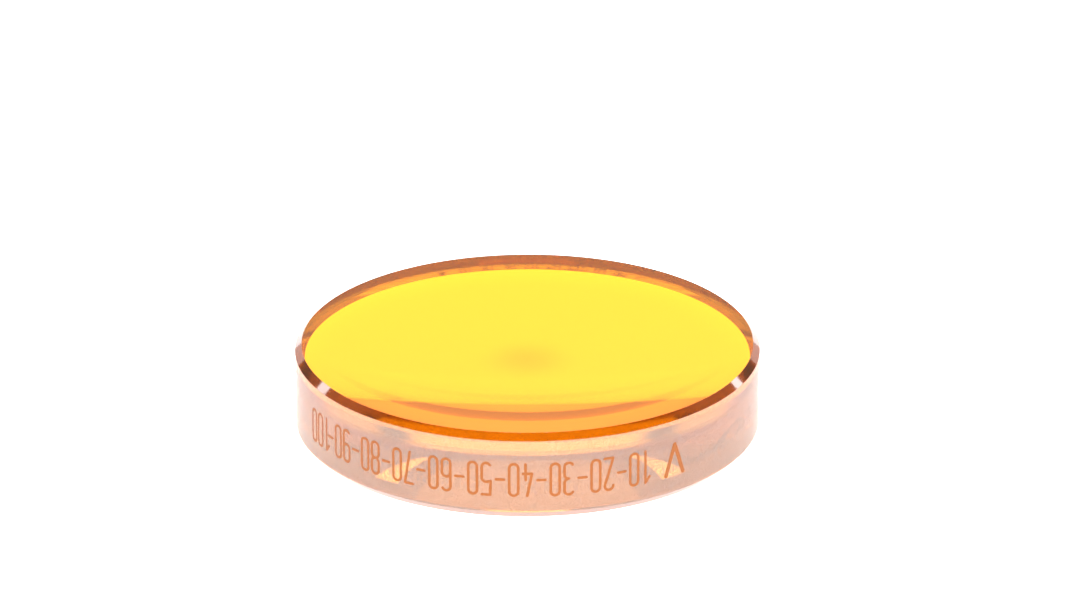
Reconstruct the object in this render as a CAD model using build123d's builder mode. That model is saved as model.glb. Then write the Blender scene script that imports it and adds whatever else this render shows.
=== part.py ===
from build123d import *
import os

# A positive meniscus lens that focuses the beam of a carbon dioxide laser, ground from one piece
# of zinc selenide. It lies on its convex face, which touches Z = 0 at the origin. +Z is the
# optical axis, out of the hollow face and towards the focus. Lengths are in millimetres.

# Driving sizes
lens_diameter = 38.1
edge_thickness = 7.3
focal_length = 190.5
index_at_laser_line = 2.4028
bevel_width = 0.4

# The bending with the least spherical aberration for a distant source shares the power between
# the two faces, and so fixes both radii. The convex face meets the beam first.
shape_factor = 2 * (index_at_laser_line**2 - 1) / (index_at_laser_line + 2)
convex_radius = 2 * focal_length * (index_at_laser_line - 1) / (shape_factor + 1)
hollow_radius = 2 * focal_length * (index_at_laser_line - 1) / (shape_factor - 1)

# Each sag is the height of its face at the ground edge, measured from its own middle.
edge_radius = lens_diameter / 2
convex_sag = convex_radius - (convex_radius**2 - edge_radius**2) ** 0.5
hollow_sag = hollow_radius - (hollow_radius**2 - edge_radius**2) ** 0.5
centre_thickness = convex_sag + edge_thickness - hollow_sag

# Half of the lens in section: both faces are arcs that meet the axis square. The bevels are cut
# later, as they are on the real blank.
with BuildPart() as lens:
    with BuildSketch(Plane.XZ) as section:
        with BuildLine():
            lower_rim = (edge_radius, convex_sag)
            upper_rim = (edge_radius, convex_sag + edge_thickness)
            convex_face = RadiusArc((0, 0), lower_rim, -convex_radius)
            ground_edge = Line(lower_rim, upper_rim)
            hollow_face = RadiusArc(upper_rim, (0, centre_thickness), hollow_radius)
            Line(hollow_face @ 1, (0, 0))
        make_face()
    revolve(axis=Axis.Z)

    # A protective bevel takes the sharp corner off each rim, so that it doesn't chip in the cell.
    rims = lens.faces().filter_by(GeomType.CYLINDER).edges().filter_by(GeomType.CIRCLE)
    chamfer(rims, bevel_width)

lens.part.label = "lens"

os.makedirs("parts", exist_ok=True)
export_step(lens.part, "parts/lens.step")
print("radii", round(convex_radius, 2), round(hollow_radius, 2))
print("sags", round(convex_sag, 3), round(hollow_sag, 3), "centre thickness", round(centre_thickness, 3))
print("volume", round(lens.part.volume, 1), "faces", len(lens.part.faces()))
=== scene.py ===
import bpy
import math
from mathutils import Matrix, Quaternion, Vector
from mathutils.geometry import delaunay_2d_cdt


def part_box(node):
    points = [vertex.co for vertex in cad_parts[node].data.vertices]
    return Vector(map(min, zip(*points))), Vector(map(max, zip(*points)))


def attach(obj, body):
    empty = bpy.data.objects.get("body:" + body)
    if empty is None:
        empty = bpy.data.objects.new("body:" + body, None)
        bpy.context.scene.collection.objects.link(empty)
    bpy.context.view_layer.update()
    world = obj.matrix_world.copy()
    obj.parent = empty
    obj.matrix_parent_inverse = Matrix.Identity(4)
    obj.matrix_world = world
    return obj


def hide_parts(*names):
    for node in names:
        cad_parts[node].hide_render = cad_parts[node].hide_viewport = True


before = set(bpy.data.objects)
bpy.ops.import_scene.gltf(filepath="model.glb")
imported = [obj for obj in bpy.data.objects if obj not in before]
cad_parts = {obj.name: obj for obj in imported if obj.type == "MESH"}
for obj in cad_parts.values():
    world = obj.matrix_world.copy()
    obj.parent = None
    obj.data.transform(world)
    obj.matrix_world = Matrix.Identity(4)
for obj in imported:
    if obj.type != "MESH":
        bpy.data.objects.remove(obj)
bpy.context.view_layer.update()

mm = 0.001
scene = bpy.context.scene
lensLow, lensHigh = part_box("lens")

# The lens is a solid of revolution about Z, lying on its convex face. The camera looks along +Y.
lensSizes = {
    "focalLength": 190.5 * mm,
    "laserIndex": 2.4028,        # zinc selenide at 10.6 micrometres
    "solidBevel": 0.4 * mm,      # of the frame's own solid
    "bevelWidth": 0.55 * mm,     # as wide as it shows on the real rim
    "cornerRadius": 0.012 * mm,  # what the last polish leaves where a bevel starts
    "turnSteps": 360,
    "faceRings": 60,
    "wallRings": 8,
    "cornerSteps": 4,
}

edgeRadius = (lensHigh[0] - lensLow[0]) / 2
shapeFactor = 2 * (lensSizes["laserIndex"] ** 2 - 1) / (lensSizes["laserIndex"] + 2)
convexRadius = 2 * lensSizes["focalLength"] * (lensSizes["laserIndex"] - 1) / (shapeFactor + 1)
hollowRadius = 2 * lensSizes["focalLength"] * (lensSizes["laserIndex"] - 1) / (shapeFactor - 1)


def sag(faceRadius, fromAxis):
    return faceRadius - math.sqrt(faceRadius**2 - fromAxis**2)


rimInside = edgeRadius - lensSizes["bevelWidth"]     # where each face ends and its bevel starts
hollowMiddle = lensHigh[2] - sag(hollowRadius, edgeRadius - lensSizes["solidBevel"])
lowerEdge = sag(convexRadius, edgeRadius)            # height of the lower rim, before its bevel
upperEdge = hollowMiddle + sag(hollowRadius, edgeRadius)


def linear(hexText):
    channels = [int(hexText[i : i + 2], 16) / 255 for i in (1, 3, 5)]
    light = [c / 12.92 if c <= 0.04045 else ((c + 0.055) / 1.055) ** 2.4 for c in channels]
    return (*light, 1.0)


def addNode(tree, kind, settings=None, links=None):
    # A name that is one of the node's sockets sets that socket, any other is a property.
    node = tree.nodes.new(kind)
    for name, value in (settings or {}).items():
        if name in node.inputs:
            node.inputs[name].default_value = value
        else:
            setattr(node, name, value)
    for name, socket in (links or {}).items():
        tree.links.new(socket, node.inputs[name])
    return node


def newMaterial(name):
    material = bpy.data.materials.new(name)
    material.use_nodes = True
    material.node_tree.nodes.clear()
    return material, material.node_tree


def addObject(name, mesh, material):
    piece = bpy.data.objects.new(name, mesh)
    scene.collection.objects.link(piece)
    mesh.materials.append(material)
    return piece


# Camera
cameraView = {
    "elevation": 23.52,           # degrees above the table
    "distance": 0.635,            # metres
    "pixelsPerMm": 12.181,        # at the lens
    "roll": -0.108,               # degrees
    "fitHeight": lowerEdge + 3.8 * mm,   # the point on the axis that the next pixel shows
    "fitPixel": (527.3, 380.1),
    "imageSize": (1066, 600),
    "sensorWidth": 36.0,          # mm
    "clipNear": 0.01,             # metres
    "clipFar": 50.0,
}


def makeCamera(view):
    elevation = math.radians(view["elevation"])
    back = Vector((0, -math.cos(elevation), math.sin(elevation)))
    up = Vector((0, math.sin(elevation), math.cos(elevation)))
    onAxis = Vector((0, 0, view["fitHeight"]))
    toRight = (view["imageSize"][0] / 2 - view["fitPixel"][0]) / view["pixelsPerMm"] * mm
    upwards = (view["fitPixel"][1] - view["imageSize"][1] / 2) / view["pixelsPerMm"] * mm
    middle = onAxis + Vector((toRight, 0, 0)) + up * upwards
    data = bpy.data.cameras.new("camera")
    data.sensor_width = view["sensorWidth"]
    focalPixels = view["pixelsPerMm"] / mm * view["distance"]
    data.lens = focalPixels / view["imageSize"][0] * view["sensorWidth"]
    data.clip_start = view["clipNear"]
    data.clip_end = view["clipFar"]
    camera = bpy.data.objects.new("camera", data)
    camera.location = onAxis + back * view["distance"]
    camera.rotation_mode = "QUATERNION"
    aim = (middle - camera.location).to_track_quat("-Z", "Y")
    camera.rotation_quaternion = aim @ Quaternion((0, 0, 1), math.radians(view["roll"]))
    scene.collection.objects.link(camera)
    scene.camera = camera


makeCamera(cameraView)
print("camera placed")

# Table and light: the lens lies on an opal sheet that glows from below, in front of a white cove
# and between soft panels. Directions are degrees to the right of straight behind the lens, and
# degrees above the table.
studio = {
    "floorHalf": 6.0,            # metres
    "floorGap": 0.005 * mm,
    "floorGlow": 1.95,
    "floorColour": "#ececec",
    "paintedShadowWidth": 9.5 * mm,    # painted shadow: the sheet's glow is dimmed in a round patch this wide, under the point where the lens touches
    # how much of the glow the painted shadow takes away at its middle
    "paintedShadowDepth": 0.2,
    "coveDistance": 3.0,
    "coveSpan": 35,              # degrees to each side
    "coveTop": 60,
    "coveGlow": 0.84,
    "roomGlow": 0.14,            # low in the room
    "roomGlowAbove": 0.02,
    "roomReach": (38, 50),       # between these heights the one turns into the other
    # distance in metres, glow, corners as direction and height
    "panels": {
        "rightStrip": (1.4, 3.7, ((43.5, 21), (53, 21), (50.5, 53), (46.5, 53))),
        "leftStrip": (1.4, 3.2, ((-57, 23.5), (-46, 23.5), (-50, 54), (-54.5, 54))),
        "overhead": (1.5, 3.2, ((45, 77), (135, 77), (225, 77), (315, 77))),
        "frontPanel": (1.5, 2.4, ((150, 38), (210, 38), (210, 54), (150, 54))),
        "frontCard": (1.5, 1.2, ((125, 1), (235, 1), (235, 24), (125, 24))),
    },
}


def outwards(azimuth, elevation):
    turn, rise = math.radians(azimuth), math.radians(elevation)
    return Vector((math.sin(turn) * math.cos(rise), math.cos(turn) * math.cos(rise), math.sin(rise)))


def makeFlat(name, corners, material, seen=False):
    mesh = bpy.data.meshes.new(name)
    mesh.from_pydata(corners, [], [(0, 1, 2, 3)])
    flat = addObject(name, mesh, material)
    flat.visible_camera = seen


def makeTable(values):
    material, tree = newMaterial("opalSheet")
    place = addNode(tree, "ShaderNodeTexCoord").outputs["Object"]
    # Painted shadow: the glow falls smoothly towards the point under the lens where it touches the sheet.
    fromContact = addNode(tree, "ShaderNodeVectorMath", {"operation": "LENGTH"}, {"Vector": place})
    glow = addNode(tree, "ShaderNodeMapRange", {
        "interpolation_type": "SMOOTHSTEP", "From Min": 0.0, "From Max": values["paintedShadowWidth"] / 2,
        "To Min": values["floorGlow"] * (1 - values["paintedShadowDepth"]), "To Max": values["floorGlow"],
    }, {"Value": fromContact.outputs["Value"]})
    shader = addNode(tree, "ShaderNodeBsdfPrincipled", {
        "Base Color": linear(values["floorColour"]), "Roughness": 1.0, "Specular IOR Level": 0.0,
        "Emission Color": (1, 1, 1, 1),
    }, {"Emission Strength": glow.outputs["Result"]})
    addNode(tree, "ShaderNodeOutputMaterial", links={"Surface": shader.outputs["BSDF"]})
    half, low = values["floorHalf"], -values["floorGap"]
    corners = [(-half, -half, low), (half, -half, low), (half, half, low), (-half, half, low)]
    makeFlat("table", corners, material, seen=True)


def makeCove(values):
    material, tree = newMaterial("whiteCove")
    away = values["coveDistance"]
    half = away * math.tan(math.radians(values["coveSpan"]))
    height = away * math.tan(math.radians(values["coveTop"]))
    glow = addNode(tree, "ShaderNodeEmission", {"Strength": values["coveGlow"]})
    addNode(tree, "ShaderNodeOutputMaterial", links={"Surface": glow.outputs[0]})
    corners = [(-half, away, 0), (half, away, 0), (half, away, height), (-half, away, height)]
    makeFlat("cove", corners, material)


def makePanel(name, distance, strength, corners):
    material, tree = newMaterial(name + "Silk")
    glow = addNode(tree, "ShaderNodeEmission", {"Strength": strength})
    addNode(tree, "ShaderNodeOutputMaterial", links={"Surface": glow.outputs[0]})
    makeFlat(name, [outwards(*corner) * distance for corner in corners], material)


def makeRoom(values):
    world = bpy.data.worlds.new("room")
    world.use_nodes = True
    tree = world.node_tree
    tree.nodes.clear()
    direction = addNode(tree, "ShaderNodeTexCoord").outputs["Generated"]
    z = addNode(tree, "ShaderNodeSeparateXYZ", links={"Vector": direction}).outputs["Z"]
    low, high = (math.sin(math.radians(degrees)) for degrees in values["roomReach"])
    level = addNode(tree, "ShaderNodeMapRange", {
        "From Min": low, "From Max": high,
        "To Min": values["roomGlow"], "To Max": values["roomGlowAbove"],
    }, {"Value": z})
    glow = addNode(tree, "ShaderNodeBackground", links={"Strength": level.outputs["Result"]})
    addNode(tree, "ShaderNodeOutputWorld", links={"Surface": glow.outputs[0]})
    scene.world = world


makeTable(studio)
makeCove(studio)
for name, panel in studio["panels"].items():
    makePanel(name, *panel)
makeRoom(studio)

lensBounces = 48                 # light goes round inside the lens many times before it leaves
scene.cycles.max_bounces = lensBounces
scene.cycles.transmission_bounces = lensBounces
scene.cycles.glossy_bounces = lensBounces
scene.cycles.diffuse_bounces = 6
scene.cycles.sample_clamp_indirect = 0
scene.view_settings.view_transform = "Standard"
print("table and lamps placed")

# Zinc selenide: a clear amber crystal, ground to shape and then polished. It bends light far more
# than glass, so the eye sees strong reflections and the same table many times over, and each
# longer way through the crystal looks more orange. The faces are polished through and coated, so
# they reflect little. The bevels are a little dull. The edge is polished too, but still holds
# pits of the grinding, which lay a faint milky veil over what shows behind.
zincSelenide = {
    "index": 2.60,               # for yellow light
    "tint": "#fdb459",           # the coating passes less green and blue than red
    "coatedReflection": 0.08,    # share of a face's straight reflection that the coating leaves
    "lostPerMm": (0.0025, 0.0105, 0.55),   # share of red, green and blue light
    "bevelRoughness": 0.06,
    "pitRoughness": 0.8,
    "pitSize": 0.02,             # mm, as grit leaves them: too fine to show one by one
    "edgePits": 0.42,            # share of the edge that is still pitted
}


def makeZincSelenide(values, inside, middleHeight, halfWall):
    material, tree = newMaterial("polishedZincSelenide")

    def maths(operation, first, second=None):
        node = addNode(tree, "ShaderNodeMath", {"operation": operation})
        for socket, value in zip(node.inputs, (first, second)):
            if hasattr(value, "links"):
                tree.links.new(value, socket)
            elif value is not None:
                socket.default_value = value
        return node.outputs[0]

    place = addNode(tree, "ShaderNodeTexCoord").outputs["Object"]
    parts = addNode(tree, "ShaderNodeSeparateXYZ", links={"Vector": place}).outputs
    squares = maths("ADD", maths("POWER", parts["X"], 2.0), maths("POWER", parts["Y"], 2.0))
    beyondFaces = maths("GREATER_THAN", maths("SQRT", squares), inside)
    fromMiddle = maths("ABSOLUTE", maths("SUBTRACT", parts["Z"], middleHeight))
    onBevel = maths("MULTIPLY", beyondFaces, maths("GREATER_THAN", fromMiddle, halfWall))
    onEdge = maths("SUBTRACT", beyondFaces, onBevel)
    pitsPerMetre = 1 / (values["pitSize"] * mm)
    grain = addNode(tree, "ShaderNodeTexVoronoi", {"Scale": pitsPerMetre}, {"Vector": place})
    cell = addNode(tree, "ShaderNodeSeparateColor", links={"Color": grain.outputs["Color"]}).outputs[0]
    pitted = maths("LESS_THAN", cell, maths("MULTIPLY", onEdge, values["edgePits"]))
    bevelled = maths("MULTIPLY", onBevel, values["bevelRoughness"])
    roughness = maths("MAXIMUM", bevelled, maths("MULTIPLY", pitted, values["pitRoughness"]))
    reflection = maths("MAXIMUM", beyondFaces, values["coatedReflection"])
    shader = addNode(tree, "ShaderNodeBsdfPrincipled", {
        "Base Color": linear(values["tint"]), "IOR": values["index"], "Transmission Weight": 1.0,
    }, {"Roughness": roughness, "Specular Tint": reflection})
    kept = [1 - lost for lost in values["lostPerMm"]]
    depth = addNode(tree, "ShaderNodeVolumeAbsorption", {
        "Color": (*kept, 1.0), "Density": 1 / mm,
    })
    addNode(tree, "ShaderNodeOutputMaterial", links={
        "Surface": shader.outputs["BSDF"], "Volume": depth.outputs[0],
    })
    return material


def lensOutline(sizes):
    # Points from the middle of the convex face out, up the edge and in to the middle of the
    # hollow face, each with the direction its surface faces: (radius, height, facing angle).
    bevel = sizes["bevelWidth"]
    corners = [
        (rimInside, sag(convexRadius, rimInside)),
        (edgeRadius, lowerEdge + bevel),
        (edgeRadius, upperEdge - bevel),
        (rimInside, hollowMiddle + sag(hollowRadius, rimInside)),
    ]
    lowerBevel = math.atan2(corners[0][0] - corners[1][0], corners[1][1] - corners[0][1])
    upperBevel = math.atan2(corners[2][0] - corners[3][0], corners[3][1] - corners[2][1])
    facing = [
        math.asin(rimInside / convexRadius) - math.pi / 2,
        lowerBevel,
        0.0,
        upperBevel,
        math.pi / 2 + math.asin(rimInside / hollowRadius),
    ]
    rounded = []
    for (r, z), before, after in zip(corners, facing, facing[1:]):
        pull = sizes["cornerRadius"] / (1 + math.cos(after - before))
        middleR = r - pull * (math.cos(before) + math.cos(after))
        middleZ = z - pull * (math.sin(before) + math.sin(after))
        arc = []
        for step in range(sizes["cornerSteps"] + 1):
            angle = before + (after - before) * step / sizes["cornerSteps"]
            arc.append((middleR + sizes["cornerRadius"] * math.cos(angle),
                        middleZ + sizes["cornerRadius"] * math.sin(angle), angle))
        rounded.append(arc)
    outline = []
    rings = sizes["faceRings"]
    for ring in range(rings):
        r = rounded[0][0][0] * ring / rings
        outline.append((r, sag(convexRadius, r), math.asin(r / convexRadius) - math.pi / 2))
    outline += rounded[0] + rounded[1]
    wallStart, wallEnd = rounded[1][-1][1], rounded[2][0][1]
    for ring in range(1, sizes["wallRings"]):
        outline.append((edgeRadius, wallStart + (wallEnd - wallStart) * ring / sizes["wallRings"], 0.0))
    outline += rounded[2] + rounded[3]
    for ring in range(rings - 1, -1, -1):
        r = rounded[3][-1][0] * ring / rings
        height = hollowMiddle + sag(hollowRadius, r)
        outline.append((r, height, math.pi / 2 + math.asin(r / hollowRadius)))
    return outline


def makeLens(sizes, material):
    outline = lensOutline(sizes)
    steps = sizes["turnSteps"]
    points, normals, faces, rings = [], [], [], []
    for r, z, facing in outline:
        count = steps if r > 0 else 1
        rings.append((len(points), count))
        for step in range(count):
            turn = 2 * math.pi * step / steps
            points.append((r * math.cos(turn), r * math.sin(turn), z))
            sideways = math.cos(facing)
            normals.append((sideways * math.cos(turn), sideways * math.sin(turn), math.sin(facing)))
    for (low, lowCount), (high, highCount) in zip(rings, rings[1:]):
        for step in range(steps):
            after = (step + 1) % steps
            if lowCount == 1:
                faces.append((low, high + after, high + step))
            elif highCount == 1:
                faces.append((low + step, low + after, high))
            else:
                faces.append((low + step, low + after, high + after, high + step))
    mesh = bpy.data.meshes.new("lensBody")
    mesh.from_pydata(points, [], faces)
    mesh.polygons.foreach_set("use_smooth", [True] * len(mesh.polygons))
    mesh.normals_split_custom_set_from_vertices(normals)
    piece = addObject("lensBody", mesh, material)
    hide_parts("lens")
    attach(piece, "root")


crystal = makeZincSelenide(
    zincSelenide,
    rimInside - lensSizes["cornerRadius"],
    (lowerEdge + upperEdge) / 2,
    (upperEdge - lowerEdge) / 2 - lensSizes["bevelWidth"],
)
makeLens(lensSizes, crystal)
print("lens made")

# Degree scale on the edge: plain numbers in tens of degrees from an arrowhead, upside down as
# the lens lies, because they are read with the hollow face down. Sizes in mm.
edgeScale = {
    "digitWidth": 0.72,          # between the middles of the strokes
    "digitHeight": 2.76,
    "stroke": 0.23,
    "pitch": 1.11,
    "arrowWidth": 1.75,
    "arrowHeight": 2.6,
    "arrowStroke": 0.36,
    "arrowTurn": 38.3,           # degrees round from the front, towards the right
    "middleHeight": 3.38,        # above the lower rim
    "numbers": 10,
    "degreesApart": 10,          # with a dash halfway
    "proud": 0.008,
    "sunk": 0.03,
    "longestRun": 0.2,           # so that a mark follows the round edge
    "capSteps": 5,
    "mergeGap": 1e-5,            # points nearer than this are one point
    "frostColour": "#b2621e",
    "frostRoughness": 0.6,
}


def arcPoints(x, y, width, height, start, end, steps=10):
    turns = [math.radians(start + (end - start) * i / steps) for i in range(steps + 1)]
    return [(x + width * math.cos(t), y + height * math.sin(t)) for t in turns]


def digitStrokes(w, h):
    # Each digit is one or more pen strokes, in a box w wide and h high.
    r = w / 2
    top, low = h - r, r
    half = h / 2
    loop = arcPoints(r, top, r, r, 0, 180) + arcPoints(r, low, r, r, 180, 360)
    return {
        "0": [loop + loop[:1]],
        "1": [[(0.1 * w, h - 0.18 * h), (0.62 * w, h), (0.62 * w, 0)]],
        "2": [arcPoints(r, top, r, r, 180, -20) + [(0, 0), (w, 0)]],
        "3": [arcPoints(r, top, r, r, 150, 0) + arcPoints(r, half + r, r, r, 0, -90)
              + arcPoints(r, half - r, r, r, 90, 0) + arcPoints(r, low, r, r, 0, -150)],
        "4": [[(0.55 * w, h), (0, 0.3 * h), (w, 0.3 * h)], [(0.72 * w, 0.5 * h), (0.72 * w, 0)]],
        "5": [[(w, h), (0.06 * w, h), (0, 0.56 * h)] + arcPoints(r, 0.6 * h - r, r, r, 110, 0)
              + arcPoints(r, low, r, r, 0, -150)],
        "6": [arcPoints(r, top, r, r, 30, 180) + arcPoints(r, low, r, r, 180, 360)
              + arcPoints(r, 0.56 * h - r, r, r, 0, 180)],
        "7": [[(0, h), (w, h), (0.36 * w, 0)]],
        "8": [arcPoints(r, top, r, r, 0, 180) + arcPoints(r, half + r, r, r, 180, 360) + [(w, top)],
              arcPoints(r, half - r, r, r, 0, 180) + arcPoints(r, low, r, r, 180, 360) + [(w, half - r)]],
        "9": [arcPoints(r, low, r, r, 210, 360) + arcPoints(r, top, r, r, 0, 180)
              + arcPoints(r, 0.44 * h + r, r, r, 180, 360)],
        "-": [[(0.05 * w, half), (0.95 * w, half)]],
    }


def runCapsules(strokes, width, values):
    # One round-ended outline for each short run of a stroke.
    outlines = []
    half, steps = width / 2, values["capSteps"]
    for stroke in strokes:
        for (x0, y0), (x1, y1) in zip(stroke, stroke[1:]):
            length = math.hypot(x1 - x0, y1 - y0)
            if length < values["mergeGap"]:
                continue
            runs = max(1, math.ceil(length / values["longestRun"]))
            along = math.degrees(math.atan2(y1 - y0, x1 - x0))
            for run in range(runs):
                ax, ay = x0 + (x1 - x0) * run / runs, y0 + (y1 - y0) * run / runs
                bx, by = x0 + (x1 - x0) * (run + 1) / runs, y0 + (y1 - y0) * (run + 1) / runs
                outlines.append(
                    arcPoints(bx, by, half, half, along - 90, along + 90, steps)
                    + arcPoints(ax, ay, half, half, along + 90, along + 270, steps)
                )
    return outlines


def makeMark(name, strokes, width, middleTurn, values, material):
    # The union of the runs, wrapped on the edge and closed to a thin solid.
    points, faces = [], []
    for outline in runCapsules(strokes, width, values):
        faces.append(list(range(len(points), len(points) + len(outline))))
        points += [Vector(p) for p in outline]
    flat, _, filled, _, _, owners = delaunay_2d_cdt(points, [], faces, 1, values["mergeGap"], True)
    filled = [face for face, owner in zip(filled, owners) if owner]   # without the holes
    onEdge = []
    for reach in (values["proud"], -values["sunk"]):
        for x, y in flat:
            turn = math.radians(middleTurn) - x * mm / edgeRadius
            z = lowerEdge + (values["middleHeight"] - y) * mm
            r = edgeRadius + reach * mm
            onEdge.append((r * math.sin(turn), -r * math.cos(turn), z))
    count = len(flat)
    shell = []
    for face in filled:
        shell.append(tuple(face))
        shell.append(tuple(i + count for i in reversed(face)))
    sides = dict.fromkeys((a, b) for face in filled for a, b in zip(face, [*face[1:], face[0]]))
    for a, b in sides:
        if (b, a) not in sides:   # a side with a face on one hand only is on the border
            shell.append((b, a, a + count, b + count))
    mesh = bpy.data.meshes.new(name)
    mesh.from_pydata(onEdge, [], shell)
    mesh.validate()
    piece = addObject(name, mesh, material)
    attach(piece, "root")


def centred(strokes, width, height):
    return [[(x - width / 2, y - height / 2) for x, y in stroke] for stroke in strokes]


def makeEtched(values):
    # Marks cut by a laser: the crystal is left frosted and scatters its own orange light.
    material, tree = newMaterial("laserFrostedZincSelenide")
    shader = addNode(tree, "ShaderNodeBsdfPrincipled", {
        "Base Color": linear(values["frostColour"]), "Roughness": values["frostRoughness"],
    })
    addNode(tree, "ShaderNodeOutputMaterial", links={"Surface": shader.outputs["BSDF"]})
    return material


def makeScale(values, material):
    w, h = values["digitWidth"], values["digitHeight"]
    glyphs = digitStrokes(w, h)
    side, tip = values["arrowWidth"] / 2, values["arrowHeight"] / 2
    arrow = [[(-side, tip), (0, -tip), (side, tip)]]
    makeMark("markArrow", arrow, values["arrowStroke"], values["arrowTurn"], values, material)
    for number in range(1, values["numbers"] + 1):
        text = str(number * values["degreesApart"])
        middle = values["arrowTurn"] - number * values["degreesApart"]
        strokes = []
        for place, digit in enumerate(text):
            shift = (place - (len(text) - 1) / 2) * values["pitch"]
            strokes += [[(x + shift, y) for x, y in stroke] for stroke in centred(glyphs[digit], w, h)]
        makeMark("mark" + text, strokes, values["stroke"], middle, values, material)
        if number < values["numbers"]:
            dash = centred(glyphs["-"], w, h)
            halfway = middle - values["degreesApart"] / 2
            makeMark("dash" + text, dash, values["stroke"], halfway, values, material)


makeScale(edgeScale, makeEtched(edgeScale))
print("edge scale made")
